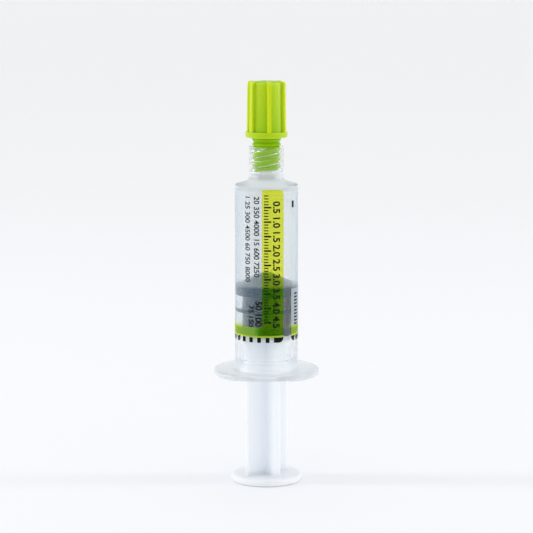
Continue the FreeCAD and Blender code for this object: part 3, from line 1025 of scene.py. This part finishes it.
class SYRINGE_OT_barrel(bpy.types.Operator):
    """Clear barrel: tube, shoulder, lock collar with its thread, tip and finger flange in one skin"""

    bl_idname = "syringe.barrel"
    bl_label = "Barrel"

    def execute(self, context):
        barrel = context.scene.syringe_barrel
        at = heights(barrel)
        angles = whole_turn()
        bore = barrel.bore_radius
        outside = softened(
            (PIN_RADIUS + FLANGE_JOIN, at["flange_top"], 0),
            (PIN_RADIUS, at["flange_top"], barrel.flange_blend),
            (PIN_RADIUS, at["shoulder"], barrel.shoulder_round),
            (barrel.collar_radius, at["shoulder"] + barrel.shoulder_rise, barrel.shoulder_blend),
            (barrel.collar_radius, at["rim"], barrel.rim_round),
            (barrel.thread_root, at["rim"], barrel.rim_inner_round),
            (barrel.thread_root, at["rim"] - barrel.rim_land, 0),
        )
        thread_end = at["floor"] + barrel.thread_low
        thread = thread_rings(
            angles, at["rim"] - barrel.thread_high, thread_end, barrel.thread_root, barrel.thread_crest,
            at["rim"] - THREAD_FROM_RIM, barrel)
        inside = softened(
            (barrel.thread_root, thread_end, 0),
            (barrel.thread_root, at["floor"], barrel.floor_round),
            (tip_taper(barrel, at["floor"]), at["floor"], barrel.tip_root_round),
            (barrel.tip_radius, at["tip_top"], barrel.tip_end_round),
            (barrel.channel_radius, at["tip_top"], barrel.channel_round),
            (barrel.channel_radius, at["channel"], 0),
            (bore, at["bore_corner"], barrel.cone_round),
            (bore, BARREL_LOW.z + barrel.ring_place + barrel.ring_width / 2, 0),
        )
        ring_centre = BARREL_LOW.z + barrel.ring_place
        ring = []
        for step in range(1, RING_STEPS):
            part = step / RING_STEPS
            height = ring_centre + barrel.ring_width * (0.5 - part)
            ring.append((bore - barrel.ring_height * math.sin(math.pi * part), height))
        mouth = held([
            (bore, ring_centre - barrel.ring_width / 2),
            (bore, BARREL_LOW.z + barrel.mouth_chamfer),
            (bore + barrel.mouth_chamfer, BARREL_LOW.z),
            (PIN_RADIUS + FLANGE_JOIN, BARREL_LOW.z),
        ])
        rings = outside + thread + inside + ring + mouth + flange_rings(barrel, angles)
        piece = tidy_surface(skin("barrel_shell", rings, angles, closed=True))
        piece.data.materials.append(
            clear_plastic(context.scene.syringe_finishes, barrel, context.scene.syringe_label))
        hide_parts("barrel")
        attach(piece, "barrel")
        return {"FINISHED"}


class SYRINGE_OT_solution(bpy.types.Operator):
    """Solution from the stopper's nose to the end of the tip; it wets what it touches"""

    bl_idname = "syringe.solution"
    bl_label = "Solution"

    def execute(self, context):
        barrel = context.scene.syringe_barrel
        stopper = context.scene.syringe_stopper
        at = heights(barrel)
        wet = stopper.wetting
        wall = barrel.bore_radius + wet
        channel = barrel.channel_radius + wet
        front = STOPPER_LOW.z + stopper.length
        outline = softened(
            (0, STOPPER_HIGH.z - 3 * wet, 0),
            (stopper.nose_radius, STOPPER_HIGH.z - stopper.nose_drop - 3 * wet, 0),
            (wall, front - stopper.meniscus, 0),
            (wall, at["bore_corner"] + wet, barrel.cone_round),
            (channel, at["channel"] + wet, 0),
            (channel, at["tip_top"] - barrel.channel_round, 0),
            (0, at["tip_top"] - barrel.channel_round, 0),
        )
        piece = tidy_surface(skin("solution_column", outline, whole_turn()))
        piece.data.materials.append(liquid(context.scene.syringe_finishes))
        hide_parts("solution")
        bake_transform(piece)
        return {"FINISHED"}


class SYRINGE_OT_stopper(bpy.types.Operator):
    """Rubber stopper with three ribs, a cone nose and the socket for the rod's head"""

    bl_idname = "syringe.stopper"
    bl_label = "Stopper"

    def execute(self, context):
        barrel = context.scene.syringe_barrel
        rod = context.scene.syringe_rod
        sizes = context.scene.syringe_stopper
        contact = barrel.bore_radius + sizes.squeeze
        groove = contact - sizes.rib_depth
        low = STOPPER_LOW.z
        front = low + sizes.length
        middle = front - sizes.middle_place
        half = sizes.middle_rib / 2
        slope = sizes.rib_slope
        edge = sizes.rib_round
        neck = ROD_HIGH.z - (rod.head_length + rod.head_cone)
        gap = sizes.socket_gap
        outline = softened(
            (0, STOPPER_HIGH.z, 0),
            (sizes.nose_radius, STOPPER_HIGH.z - sizes.nose_drop, sizes.nose_radius),
            (contact, front - sizes.front_drop, sizes.front_round),
            (contact, front - sizes.front_rib, edge),
            (groove, front - sizes.front_rib - slope, edge),
            (groove, middle + half + slope, edge),
            (contact, middle + half, edge),
            (contact, middle - half, edge),
            (groove, middle - half - slope, edge),
            (groove, low + sizes.rear_rib, edge),
            (contact, low + sizes.rear_rib - slope, edge),
            (contact, low + slope, edge),
            (contact - slope, low, 0),
            (rod.stem_radius + gap, low, 0),
            (rod.stem_radius + gap, neck - gap, 0),
            (rod.head_radius + gap, neck - gap, 0),
            (rod.head_radius + gap, neck + rod.head_length + gap, 0),
            (rod.head_tip_radius + gap, ROD_HIGH.z + gap, 0),
            (0, ROD_HIGH.z + gap, 0),
        )
        piece = tidy_surface(skin("stopper_rubber", outline, whole_turn()))
        piece.data.materials.append(rubber(context.scene.syringe_finishes, front))
        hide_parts("stopper")
        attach(piece, "stopper")
        return {"FINISHED"}


def fin_radius(angle, reach, half, rounding):
    """Distance from the axis to the edge of a fin that points along angle 0."""
    angle = abs(angle)
    corner_x, corner_y = reach - rounding, half - rounding
    if math.tan(angle) * reach <= corner_y:
        return reach / math.cos(angle)
    if half / math.tan(angle) <= corner_x:
        return half / math.sin(angle)
    along = corner_x * math.cos(angle) + corner_y * math.sin(angle)
    return along + math.sqrt(along ** 2 - corner_x ** 2 - corner_y ** 2 + rounding ** 2)


class SYRINGE_OT_plunger_rod(bpy.types.Operator):
    """Plunger rod: one sector with a fin is repeated round the axis"""

    bl_idname = "syringe.plunger_rod"
    bl_label = "Plunger Rod"

    def execute(self, context):
        rod = context.scene.syringe_rod
        half = rod.fin_thickness / 2
        rest_radius = ROD_HIGH.x
        rest = rod.rest_thickness
        half_sector = math.pi / rod.fin_count
        edge = math.atan(half / (rod.fin_reach - rod.fin_round))
        beside = half_sector - edge
        angles = mirrored([edge * part for part in FIN_SHARES]
                          + [edge + beside * step / FIN_STEPS for step in range(1, FIN_STEPS + 1)])

        def fins(offset):
            return [fin_radius(angle, rod.fin_reach + offset, half + offset, rod.fin_round + offset)
                    for angle in angles]

        seat_low = ROD_HIGH.z - rod.head_cone - rod.head_length - rod.stem_length - rod.seat_thickness
        seat_high = seat_low + rod.seat_thickness
        neck = seat_high + rod.stem_length
        rings = softened(
            (0, 0, 0),
            (rest_radius, 0, rod.rest_round),
            (rest_radius, rest, rod.rest_round),
            (rest_radius - 2 * rod.rest_round, rest, 0),
        )
        foot = rod.fin_foot
        rings += [(fins(foot * inward), rest + foot * onward) for inward, onward in quarter(FOOT_STEPS)]
        rings += [(fins(0), seat_low - HOLD), (fins(0), seat_low)]
        rings += softened(
            (rod.seat_radius - 2 * rod.seat_round, seat_low, 0),
            (rod.seat_radius, seat_low, rod.seat_round),
            (rod.seat_radius, seat_high, rod.seat_round),
            (rod.stem_radius, seat_high, 0),
            (rod.stem_radius, neck, 0),
            (rod.head_radius, neck, 0),
            (rod.head_radius, neck + rod.head_length, 0),
            (rod.head_tip_radius, ROD_HIGH.z, 0),
            (0, ROD_HIGH.z, 0),
        )
        piece = skin("plunger_rod_body", rings, angles, around=False)
        milky = milky_plastic(context.scene.syringe_finishes)
        use_tree(piece, around_tree(), Count=rod.fin_count, Turn=rod.fin_turn, Weld=WELD, Finish=milky)
        tidy_surface(piece)
        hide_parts("plunger_rod")
        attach(piece, "plunger_rod")
        return {"FINISHED"}


class SYRINGE_OT_tip_cap(bpy.types.Operator):
    """Tip cap: a ribbed sector is repeated round the axis above a threaded spigot"""

    bl_idname = "syringe.tip_cap"
    bl_label = "Tip Cap"

    def execute(self, context):
        cap = context.scene.syringe_cap
        barrel = context.scene.syringe_barrel
        at = heights(barrel)
        top = CAP_HIGH.z
        grip_low = top - cap.grip_length
        plate_low = grip_low - cap.plate_thickness
        half_sector = math.pi / cap.rib_count
        rib_edge = cap.rib_width / 2 / cap.rib_radius
        flank_start, flank_end = rib_edge - RIB_INSIDE, rib_edge + RIB_OUTSIDE
        angles = [flank_start * part for part in RIB_SHARES]
        flank, ground = (flank_start, flank_end, FLANK_STEPS), (flank_end, half_sector, GROUND_STEPS)
        for start, end, steps in (flank, ground):
            angles += [start + (end - start) * step / steps for step in range(1, steps + 1)]
        angles = mirrored(angles)
        ribs = [eased((flank_end - abs(angle)) / (flank_end - flank_start)) for angle in angles]

        def grip_ring(core, core_height, crest, crest_height):
            return ([core + (crest - core) * share for share in ribs],
                    [core_height + (crest_height - core_height) * share for share in ribs])

        rings = [(0, top)]
        core_top, rib_top = cap.core_radius - cap.draft, cap.rib_radius - cap.draft
        for inward, down in quarter(FOOT_STEPS):
            rings.append(grip_ring(core_top - cap.core_round * inward, top - cap.core_round * down,
                                   rib_top - cap.rib_round * inward, top - cap.rib_round * down))
        rings.append(grip_ring(cap.core_radius, grip_low + HOLD, cap.rib_radius, grip_low + HOLD))
        rings.append(grip_ring(cap.core_radius, grip_low, cap.rib_radius, grip_low))
        rings += softened(
            (cap.rib_radius + HOLD / 3, grip_low, 0),
            (cap.plate_radius, grip_low, cap.plate_top_round),
            (cap.plate_radius, plate_low, cap.plate_round),
            (cap.spigot_radius, plate_low, 0),
        )
        sector = skin("tip_cap_body", rings, angles, around=False)

        step_low = plate_low - cap.step_length
        land = step_low - cap.waist_length
        thread_top = land - cap.land_length - cap.thread_lead_in
        neck = softened(
            (cap.spigot_radius, plate_low, 0),
            (cap.spigot_radius, step_low, cap.edge_round),
            (cap.spigot_radius - cap.waist_depth, step_low - cap.waist_length / 2, cap.waist_round),
            (cap.spigot_radius, land, cap.edge_round),
            (cap.spigot_radius, land - cap.land_length, cap.edge_round),
            (cap.spigot_root, thread_top, 0),
        )
        spigot_low = CAP_LOW.z
        crest_height = at["rim"] - THREAD_FROM_RIM + THREAD_PITCH / 2
        turned_back = [angle + TURN * index / cap.rib_count + FRONT + cap.rib_turn
                       for index in range(cap.rib_count) for angle in angles[:-1]]
        thread = thread_rings(
            turned_back, thread_top - THREAD_GAP, spigot_low + cap.thread_low,
            cap.spigot_root, cap.spigot_radius, crest_height, cap)
        socket_top = at["tip_top"] + cap.socket_spare
        socket = held([
            (cap.spigot_root - cap.spigot_chamfer, spigot_low),
            (tip_taper(barrel, spigot_low) + cap.socket_gap, spigot_low),
            (tip_taper(barrel, socket_top) + cap.socket_gap, socket_top),
            (0, socket_top),
        ])
        core = skin("tip_cap_spigot", neck + thread + socket, turned_back)
        lime = lime_plastic(context.scene.syringe_finishes, cap)
        use_tree(sector, around_tree(), Count=cap.rib_count, Turn=FRONT + cap.rib_turn, Core=core, Weld=WELD,
                 Finish=lime)
        bpy.data.objects.remove(core)
        tidy_surface(sector)
        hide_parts("tip_cap")
        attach(sector, "tip_cap")
        return {"FINISHED"}


def on_barrel(piece):
    """Let a piece of the label ride on the barrel."""
    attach(piece, "barrel")
    return piece


class SYRINGE_OT_label(bpy.types.Operator):
    """Clear film round the barrel, open at its seam, with its coloured fields"""

    bl_idname = "syringe.label"
    bl_label = "Label Film"

    def execute(self, context):
        label = context.scene.syringe_label
        outer = LABEL_HIGH.x
        inner = outer - label.thickness
        start, end = label.left_end - TURN, label.right_end
        corner = label.corner / outer
        arc = quarter(CORNER_STEPS)
        columns = [(start + corner * onward, label.corner * inward) for inward, onward in arc]
        low_end, high_end = start + corner, end - corner
        columns += [(low_end + (high_end - low_end) * step / ROUND_COLUMNS, 0)
                    for step in range(1, ROUND_COLUMNS)]
        columns += [(end - corner * onward, label.corner * inward) for inward, onward in reversed(arc)]
        vertices = []
        for turn, inset in columns:
            angle = turn + FRONT
            for radius in (outer, inner):
                for height in (LABEL_LOW.z + inset, LABEL_HIGH.z - inset):
                    vertices.append((radius * math.cos(angle), radius * math.sin(angle), height))
        faces = []
        slots = []
        for index in range(len(columns) - 1):
            a, b = 4 * index, 4 * index + 4
            outside, glued = (a, b, b + 1, a + 1), (a + 2, a + 3, b + 3, b + 2)
            lower, upper = (a, a + 2, b + 2, b), (a + 1, b + 1, b + 3, a + 3)
            faces += [outside, glued, lower, upper]
            slots += [0, 1, 1, 1]
        last = 4 * (len(columns) - 1)
        faces += [(0, 1, 3, 2), (last, last + 2, last + 3, last + 1)]
        slots += [1, 1]
        mesh = bpy.data.meshes.new("label_film")
        mesh.from_pydata(vertices, [], faces)
        looks = context.scene.syringe_finishes
        mesh.materials.append(printed_film(looks, label))
        mesh.materials.append(bare_film(looks))
        mesh.polygons.foreach_set("material_index", slots)
        piece = bpy.data.objects.new("label_film", mesh)
        context.scene.collection.objects.link(piece)
        tidy_surface(piece)
        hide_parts("label")
        on_barrel(piece)
        return {"FINISHED"}


def empty_piece(name):
    """Piece with an empty mesh, for a tree that makes its own geometry."""
    piece = bpy.data.objects.new(name, bpy.data.meshes.new(name))
    bpy.context.scene.collection.objects.link(piece)
    return piece


class SYRINGE_OT_print(bpy.types.Operator):
    """Dark print on the film: hatch marks, volume scale with numerals and rows of plain numbers"""

    bl_idname = "syringe.print"
    bl_label = "Label Print"

    def execute(self, context):
        label = context.scene.syringe_label
        sizes = context.scene.syringe_print
        radius = LABEL_HIGH.x
        ink = dark_ink(context.scene.syringe_finishes)
        lift = sizes.ink / 2 + sizes.ink_gap
        marks = wrapped_marks_tree()

        def row(name, count, step, start, mark):
            """Row of like marks: start and mark are (round, up), step the way to the next mark."""
            piece = use_tree(
                empty_piece(name), marks, Count=count, Step=(*step, 0), Start=(*start, lift),
                Mark=(*mark, sizes.ink), Radius=radius, Finish=ink)
            return on_barrel(tidy_surface(piece))

        row("label_hatch", sizes.hatch_count, (-sizes.hatch_pitch * radius, 0),
            (sizes.hatch_start * radius, LABEL_LOW.z + sizes.hatch_height / 2),
            (sizes.hatch_width * radius, sizes.hatch_height))
        tenth = sizes.millilitre / TICKS
        zero = heights(context.scene.syringe_barrel)["bore_corner"]
        for name, every, length, width in (
                ("label_ticks", 1, sizes.tick_length, sizes.tick_width),
                ("label_half_ticks", HALF, sizes.half_tick_length, sizes.half_tick_width)):
            middle = sizes.tick_place * radius - sizes.tick_over + length / 2
            row(name, sizes.tick_count // every, (0, -every * tenth), (middle, zero - every * tenth),
                (length, width))
        shape = bmesh.new()
        for name, turn, top, height, weight in NUMBER_ROWS:
            self.characters(shape, getattr(sizes, name), height * sizes.small_numeral, weight, turn * radius,
                            zero - top, lift, "LEFT")
        for tick in range(HALF, sizes.tick_count + 1, HALF):
            volume = tick / TICKS
            self.characters(shape, "%.1f" % volume, sizes.numeral, sizes.numeral_weight,
                            sizes.numeral_place * radius, zero - sizes.millilitre * volume, lift, "CENTER")
        self.inked("label_numerals", shape, radius, ink)
        row("label_small_mark", 1, (0, 0), (sizes.small_mark_place * radius, zero - sizes.small_mark_drop),
            (sizes.small_mark_width, sizes.small_mark_height))
        row("label_panel_marks", sizes.panel_count, (0, -sizes.panel_step),
            (sizes.panel_place * radius, LABEL_LOW.z + PANEL_HIGH - sizes.panel_drop),
            (sizes.panel_mark_width, sizes.panel_mark_height))
        low, high = LABEL_LOW.z, LABEL_LOW.z + sizes.hatch_height
        for name, inner, outer, side in (
                ("label_end_mark_right", sizes.end_mark_right * radius, label.right_end * radius, 1),
                ("label_end_mark_left", sizes.end_mark_left * radius, label.left_end * radius, -1)):
            outline = [(inner, low), (inner, high), (outer, high)]
            outline += [(outer - side * label.corner * onward, low + label.corner * inward)
                        for inward, onward in quarter(EDGE_STEPS)]
            shape = bmesh.new()
            bottom, top = ([shape.verts.new((x, y, lift + away)) for x, y in outline]
                           for away in (-sizes.ink / 2, sizes.ink / 2))
            shape.faces.new(bottom)
            shape.faces.new(top)
            for index in range(len(outline)):
                shape.faces.new((bottom[index - 1], bottom[index], top[index], top[index - 1]))
            self.inked(name, shape, radius, ink)
        return {"FINISHED"}

    def inked(self, name, shape, radius, ink):
        """Cut a flat shape into narrow strips, wrap it round the film and give it the ink."""
        places = [vertex.co.x for vertex in shape.verts]
        place = min(places)
        while place < max(places):
            place += BEND_STEP
            bmesh.ops.bisect_plane(shape, geom=shape.verts[:] + shape.edges[:] + shape.faces[:],
                                   plane_co=(place, 0, 0), plane_no=(1, 0, 0))
        piece = empty_piece(name)
        shape.to_mesh(piece.data)
        shape.free()
        use_tree(piece, wrap_tree(), Radius=radius, Finish=ink)
        on_barrel(tidy_surface(piece))

    def characters(self, shape, body, height, weight, across, top, lift, align):
        """Add a row of flat characters that reads down the film to a shape."""
        text = bpy.data.curves.new("row", "FONT")
        text.body = body
        text.size = height / NUMERAL_SHARE
        text.offset = weight
        text.align_x = align
        text.align_y = "CENTER"
        text.extrude = bpy.context.scene.syringe_print.ink / 2
        holder = bpy.data.objects.new("row", text)
        bpy.context.scene.collection.objects.link(holder)
        graph = bpy.context.evaluated_depsgraph_get()
        mesh = bpy.data.meshes.new_from_object(holder.evaluated_get(graph))
        for vertex in mesh.vertices:
            x, y, z = vertex.co
            vertex.co = (across + y, top - x, lift + z)
        shape.from_mesh(mesh)
        bpy.data.objects.remove(holder)


# Places, aims and spreads of the lamps in metres, and by what share each side lamp differs from their mean
STRIP_PLACE, STRIP_AIM, STRIP_SPREAD = (0, 0.02, 0.75), (0, 0, 0), (1.3, 0.03)
SIDE_AWAY, SIDE_BACK, SIDE_HEIGHT = 0.75, 0.02, 0.30
SIDE_AIM, SIDE_SPREAD = (0, 0, 0.055), (0.10, 0.4)
SIDE_UNLIKE = 0.15

# Half the floor's side, where the floor turns dark in reflections towards the camera, and where it turns
# pale behind the object
FLOOR_REACH = 30.0
FLOOR_ROOM = (-0.10, -0.28)
FLOOR_FAR = (0.0, 1.3)

# The surroundings turn darker towards the camera, more so in reflections, and brighter to the right
ROOM_EDGE = (0.72, 0.96)
ROOM_DARK = 0.35
ROOM_DARK_MIRRORED = 0.4
RIGHT_EDGE = (0.35, 0.95)
RIGHT_BRIGHT = 0.06

# How often light may turn or pass through clear layers
BOUNCES = 24
CLEAR_LAYERS = 32


class SYRINGE_OT_studio(bpy.types.Operator):
    """Pale floor, soft light from all sides, a long lamp above and the camera"""

    bl_idname = "syringe.studio"
    bl_label = "Studio"

    def execute(self, context):
        studio = context.scene.syringe_studio
        self.floor(studio)
        self.surroundings(studio)
        self.lamp("strip_light", STRIP_PLACE, STRIP_AIM, STRIP_SPREAD, studio.strip_power)
        for side in (-1, 1):
            power = studio.side_power * (1 - SIDE_UNLIKE * side)
            self.lamp("side_light", (side * SIDE_AWAY, SIDE_BACK, SIDE_HEIGHT), SIDE_AIM, SIDE_SPREAD, power)
        self.camera(context.scene, studio)
        context.scene.view_settings.view_transform = "Standard"
        cycles = context.scene.cycles
        cycles.max_bounces = BOUNCES
        cycles.transmission_bounces = BOUNCES
        cycles.transparent_max_bounces = CLEAR_LAYERS
        return {"FINISHED"}

    def floor(self, studio):
        """Floor, in its own colours behind the object and on the camera's side."""
        mesh = bpy.data.meshes.new("floor")
        corners = [(x * FLOOR_REACH, y * FLOOR_REACH, 0) for x, y in ((-1, -1), (1, -1), (1, 1), (-1, 1))]
        mesh.from_pydata(corners, [], [(0, 1, 2, 3)])
        material, plan = finish("studio_floor")
        y = object_place(plan)[1]
        room = plan.smooth_step(y, *FLOOR_ROOM) * light_path(plan, "Is Glossy Ray")
        pale = plan.blend_colours(plan.smooth_step(y, *FLOOR_FAR), studio.floor, studio.floor_far)
        tone = plan.blend_colours(room, pale, studio.room)
        surface(plan, plan.principled(tone, roughness=0.7, Specular_IOR_Level=0.1))
        mesh.materials.append(material)
        floor = bpy.data.objects.new("floor", mesh)
        bpy.context.scene.collection.objects.link(floor)

    def surroundings(self, studio):
        """Light from all sides, and the plain backdrop that the camera sees."""
        world = bpy.data.worlds.new("surroundings")
        world.use_nodes = True
        world.node_tree.nodes.clear()
        bpy.context.scene.world = world
        plan = Plan(world.node_tree)
        seen = light_path(plan, "Is Camera Ray").math("MAXIMUM", light_path(plan, "Is Transmission Ray"))
        x, y = plan.parts(plan.node("ShaderNodeTexCoord", output="Generated"))[:2]
        dark = plan.smooth_step(0 - y, *ROOM_EDGE)
        dark = dark * (ROOM_DARK + ROOM_DARK_MIRRORED * light_path(plan, "Is Glossy Ray"))
        right = plan.smooth_step(x, *RIGHT_EDGE)
        strength = studio.surround * (1 - dark) * (1 + RIGHT_BRIGHT * right)
        light, backdrop = (
            plan.node("ShaderNodeBackground", inputs={"Color": full_colour(colour), "Strength": power})
            for colour, power in ((studio.light, strength), (studio.backdrop, 1.0)))
        plan.node("ShaderNodeOutputWorld", inputs={"Surface": plan.mix_shaders(seen, light, backdrop)})

    def lamp(self, name, place, aim, spread, power):
        """Long area lamp that looks from its place to its aim."""
        light = bpy.data.lights.new(name, "AREA")
        light.shape = "RECTANGLE"
        light.size, light.size_y = spread
        light.energy = power
        lamp = bpy.data.objects.new(name, light)
        lamp.location = place
        way = lamp.location - type(lamp.location)(aim)
        lamp.rotation_euler = way.to_track_quat("Z", "Y").to_euler()
        bpy.context.scene.collection.objects.link(lamp)

    def camera(self, scene, studio):
        """Camera in front, which looks down a little."""
        data = bpy.data.cameras.new("camera")
        data.lens = studio.lens
        data.sensor_width = 36.0
        camera = bpy.data.objects.new("camera", data)
        camera.location = (0, -studio.distance * math.cos(studio.pitch),
                           studio.aim_height + studio.distance * math.sin(studio.pitch))
        camera.rotation_euler = (math.pi / 2 - studio.pitch, 0, 0)
        scene.collection.objects.link(camera)
        scene.camera = camera


class SYRINGE_PT_panel(bpy.types.Panel):
    """Lists the syringe's pieces and their sizes"""

    bl_idname = "SYRINGE_PT_panel"
    bl_label = "Prefilled Syringe"
    bl_space_type = "VIEW_3D"
    bl_region_type = "UI"
    bl_category = "Syringe"

    def draw(self, context):
        for operator in OPERATORS:
            self.layout.operator(operator.bl_idname)
        for name in GROUPS:
            box = self.layout.box()
            group = getattr(context.scene, name)
            for key in group.bl_rna.properties.keys():
                if key not in ("rna_type", "name"):
                    box.prop(group, key)


GROUPS = {
    "syringe_barrel": BarrelSizes,
    "syringe_cap": CapSizes,
    "syringe_rod": RodSizes,
    "syringe_stopper": StopperSizes,
    "syringe_label": LabelSizes,
    "syringe_print": PrintSizes,
    "syringe_finishes": Finishes,
    "syringe_studio": StudioSettings,
}
OPERATORS = (
    SYRINGE_OT_barrel,
    SYRINGE_OT_solution,
    SYRINGE_OT_stopper,
    SYRINGE_OT_plunger_rod,
    SYRINGE_OT_tip_cap,
    SYRINGE_OT_label,
    SYRINGE_OT_print,
    SYRINGE_OT_studio,
)


def register():
    """Make the classes and their settings known to Blender."""
    for name, group in GROUPS.items():
        bpy.utils.register_class(group)
        setattr(bpy.types.Scene, name, PointerProperty(type=group))
    for operator in OPERATORS:
        bpy.utils.register_class(operator)
    bpy.utils.register_class(SYRINGE_PT_panel)


def unregister():
    """Take the classes and their settings away again."""
    bpy.utils.unregister_class(SYRINGE_PT_panel)
    for operator in reversed(OPERATORS):
        bpy.utils.unregister_class(operator)
    for name, group in GROUPS.items():
        delattr(bpy.types.Scene, name)
        bpy.utils.unregister_class(group)


def main():
    """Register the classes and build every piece."""
    register()
    for operator in OPERATORS:
        group, call = operator.bl_idname.split(".")
        getattr(getattr(bpy.ops, group), call)()


if __name__ == "__main__":
    main()
